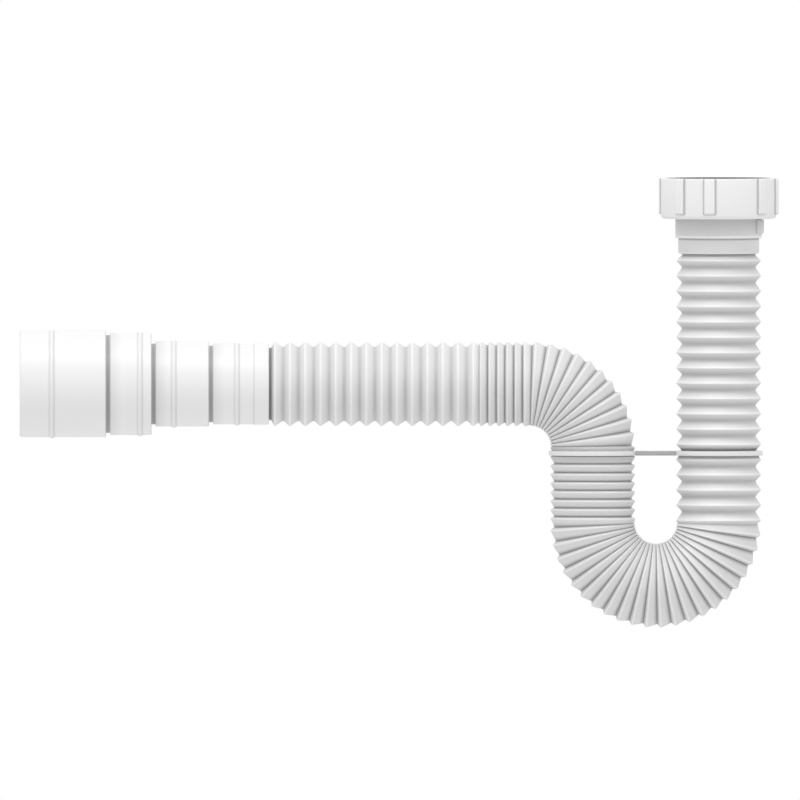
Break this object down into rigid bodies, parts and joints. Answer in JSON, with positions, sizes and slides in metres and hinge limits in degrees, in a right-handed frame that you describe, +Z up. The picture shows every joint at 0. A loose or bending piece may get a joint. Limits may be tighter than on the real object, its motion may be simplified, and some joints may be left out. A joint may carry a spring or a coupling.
{
  "type": "flexible trap",
  "caption": "White corrugated flexible sink trap with an inlet coupling nut, a holding clip and a stepped outlet adapter.",
  "frame": {"origin": "centre of the washer's sealing face inside the coupling nut", "axes": "+Z up out of the nut's mouth, -X towards the outlet; the pipe's centreline lies in the plane Y = 0"},
  "size_m": [0.3568, 0.0564, 0.2114],
  "materials": {
    "nut_plastic": "moulded white polypropylene, satin",
    "washer_rubber": "black rubber, matt",
    "fitting_plastic": "moulded white polypropylene, satin",
    "bellows_plastic": "blown white polypropylene, satin",
    "clip_plastic": "moulded white polypropylene, satin"
  },
  "bodies": {
    "trap": {"sealing_washer": "washer_rubber", "inlet_tailpiece": "fitting_plastic", "bellows_tube": "bellows_plastic", "trap_clip": "clip_plastic", "outlet_adapter": "fitting_plastic"},
    "nut": {"coupling_nut": "nut_plastic"}
  },
  "joints": [
    {"name": "nut_turn", "type": "hinge", "parent": "trap", "child": "nut", "pos_m": [0, 0, 0], "axis": [0, 0, 1], "continuous": true}
  ]
}
